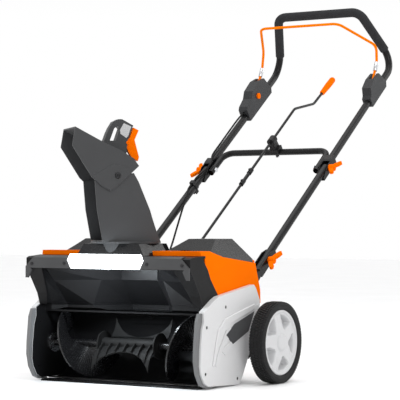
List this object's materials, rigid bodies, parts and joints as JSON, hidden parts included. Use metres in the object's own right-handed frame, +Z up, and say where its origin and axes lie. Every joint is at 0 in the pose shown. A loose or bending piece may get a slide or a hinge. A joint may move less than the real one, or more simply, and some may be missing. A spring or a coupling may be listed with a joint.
{
  "type": "single stage snowblower",
  "caption": "Walk-behind battery snowblower with an auger housing, turning discharge chute with tilting deflector, wheels behind the auger housing and a folding tube handle with bail lever.",
  "frame": {"origin": "on the floor, at the middle of the scraper bar's underside", "axes": "+X across the machine, towards the left hand of an operator at the handle; +Y from the intake back to the handle; +Z up"},
  "size_m": [0.694, 1.343, 1.086],
  "materials": {
    "housing_plastic": "satin",
    "header_plastic": "satin",
    "chute_plastic": "satin",
    "grip_plastic": "satin",
    "orange_plastic": "satin",
    "cover_plastic": "satin",
    "guard_plastic": "satin",
    "badge": "satin",
    "lens": "glowing",
    "lid_plastic": "semi-gloss",
    "pack_plastic": "matte",
    "board": "satin",
    "black_steel": "satin",
    "tube_metal": "black satin paint",
    "bail_metal": "satin paint",
    "bright_steel": "bright",
    "screw_steel": "blackened",
    "belt_rubber": "matte",
    "foam": "matte foam",
    "small_black": "satin",
    "box_plastic": "satin",
    "tyre": "matte",
    "rim_plastic": "satin"
  },
  "bodies": {
    "chassis": {"auger_housing": "housing_plastic", "header_plate": "header_plastic", "housing_screws": "screw_steel", "light_housing": "housing_plastic", "light_lens": "lens", "hood_shell": "orange_plastic", "side_cover_left": "cover_plastic", "side_cover_right": "cover_plastic", "badge_plates": "badge", "edge_guards": "guard_plastic", "scroll_shell": "housing_plastic", "scraper_bar": "black_steel", "chute_base": "housing_plastic", "battery_packs": "pack_plastic", "rear_frame": "housing_plastic", "control_board": "board", "motor_can": "bright_steel", "drive_belt": "belt_rubber", "auger_bearings": "bright_steel", "axle": "bright_steel", "handle_socket_left": "black_steel", "handle_socket_right": "black_steel", "lower_tube_left": "tube_metal", "lower_tube_right": "tube_metal", "crossbar": "tube_metal", "crank_bracket": "small_black", "handle_bolts": "bright_steel", "cable_lower": "belt_rubber", "cable_clip": "small_black"},
    "auger": {"auger_shaft": "black_steel", "auger_flights": "black_steel", "auger_paddle": "belt_rubber", "auger_pulley": "small_black"},
    "rotor": {"motor_rotor": "bright_steel"},
    "wheel_left": {"tyre_left": "tyre", "rim_left": "rim_plastic"},
    "wheel_right": {"tyre_right": "tyre", "rim_right": "rim_plastic"},
    "chute": {"chute_body": "chute_plastic", "chute_gear": "chute_plastic"},
    "deflector_hood": {"deflector": "chute_plastic", "deflector_grip": "grip_plastic"},
    "trigger": {"deflector_trigger": "orange_plastic"},
    "turning_shaft": {"turn_shaft": "bright_steel"},
    "crank": {"crank_rod": "black_steel", "crank_grip": "orange_plastic"},
    "lid_left": {"battery_lid_left": "lid_plastic"},
    "lid_right": {"battery_lid_right": "lid_plastic"},
    "handle": {"upper_handle": "tube_metal", "foam_grip": "foam", "switch_box_left": "box_plastic", "switch_box_right": "box_plastic", "cable_upper": "belt_rubber"},
    "lock_off": {"safety_button": "orange_plastic"},
    "light_switch": {"light_button": "small_black"},
    "bail": {"bail_lever": "bail_metal"},
    "knob_ul": {"knob_upper_left": "orange_plastic"},
    "knob_ur": {"knob_upper_right": "orange_plastic"},
    "knob_ll": {"knob_lower_left": "orange_plastic"},
    "knob_lr": {"knob_lower_right": "orange_plastic"}
  },
  "joints": [
    {"name": "auger_spin", "type": "hinge", "parent": "chassis", "child": "auger", "pos_m": [0, 0.05, 0.099], "axis": [1, 0, 0], "continuous": true},
    {"name": "motor_spin", "type": "hinge", "parent": "chassis", "child": "rotor", "pos_m": [0, 0.185, 0.165], "axis": [1, 0, 0], "continuous": true},
    {"name": "wheel_left_spin", "type": "hinge", "parent": "chassis", "child": "wheel_left", "pos_m": [-0.325, 0.239, 0.107], "axis": [1, 0, 0], "continuous": true},
    {"name": "wheel_right_spin", "type": "hinge", "parent": "chassis", "child": "wheel_right", "pos_m": [0.325, 0.239, 0.107], "axis": [1, 0, 0], "continuous": true},
    {"name": "chute_turn", "type": "hinge", "parent": "chassis", "child": "chute", "pos_m": [0, 0.02, 0.34], "axis": [0, 0, 1], "range_deg": [-54, 136]},
    {"name": "turning_shaft_spin", "type": "hinge", "parent": "chassis", "child": "turning_shaft", "pos_m": [0, 0.107, 0.288], "axis": [0, 1, 0], "range_deg": [-820, 330]},
    {"name": "crank_turn", "type": "hinge", "parent": "chassis", "child": "crank", "pos_m": [0, 0.72508, 0.61281], "axis": [0, 0.8049, 0.5934], "range_deg": [-820, 330]},
    {"name": "deflector_tilt", "type": "hinge", "parent": "chute", "child": "deflector_hood", "pos_m": [-0.02427, -0.00792, 0.54], "axis": [0.7547, -0.6561, 0], "range_deg": [-12, 45]},
    {"name": "deflector_trigger_squeeze", "type": "hinge", "parent": "deflector_hood", "child": "trigger", "pos_m": [0.00131, 0.02151, 0.627], "axis": [0.7547, -0.6561, 0], "range_deg": [0, 10], "stiffness_Nm_per_rad": 0.4, "springref_deg": -17.19},
    {"name": "battery_lid_left_open", "type": "hinge", "parent": "chassis", "child": "lid_left", "pos_m": [-0.16, 0.26, 0.317], "axis": [-1, 0, 0], "range_deg": [0, 75]},
    {"name": "battery_lid_right_open", "type": "hinge", "parent": "chassis", "child": "lid_right", "pos_m": [0.16, 0.26, 0.317], "axis": [-1, 0, 0], "range_deg": [0, 75]},
    {"name": "handle_fold", "type": "hinge", "parent": "chassis", "child": "handle", "pos_m": [0, 0.75, 0.579], "axis": [1, 0, 0], "range_deg": [0, 110]},
    {"name": "lock_off_press", "type": "slide", "parent": "handle", "child": "lock_off", "axis": [-1, 0, 0], "range_m": [0, 0.003], "stiffness_N_per_m": 400, "springref_m": -0.003},
    {"name": "light_switch_press", "type": "slide", "parent": "handle", "child": "light_switch", "axis": [1, 0, 0], "range_m": [0, 0.002], "stiffness_N_per_m": 400, "springref_m": -0.003},
    {"name": "bail_squeeze", "type": "hinge", "parent": "handle", "child": "bail", "pos_m": [0, 1.05983, 0.84967], "axis": [-1, 0, 0], "range_deg": [0, 28], "stiffness_Nm_per_rad": 1.2, "springref_deg": -22.92},
    {"name": "knob_upper_left_turn", "type": "hinge", "parent": "chassis", "child": "knob_ul", "pos_m": [-0.225, 0.75, 0.579], "axis": [1, 0, 0], "range_deg": [0, 720]},
    {"name": "knob_upper_right_turn", "type": "hinge", "parent": "chassis", "child": "knob_ur", "pos_m": [0.225, 0.75, 0.579], "axis": [1, 0, 0], "range_deg": [0, 720]},
    {"name": "knob_lower_left_turn", "type": "hinge", "parent": "chassis", "child": "knob_ll", "pos_m": [-0.225, 0.39504, 0.3173], "axis": [1, 0, 0], "range_deg": [0, 720]},
    {"name": "knob_lower_right_turn", "type": "hinge", "parent": "chassis", "child": "knob_lr", "pos_m": [0.225, 0.39504, 0.3173], "axis": [1, 0, 0], "range_deg": [0, 720]}
  ],
  "couplings": [
    {"joint": "motor_spin", "follows": "auger_spin", "ratio": 5},
    {"joint": "turning_shaft_spin", "follows": "chute_turn", "ratio": -6},
    {"joint": "crank_turn", "follows": "chute_turn", "ratio": -6}
  ]
}
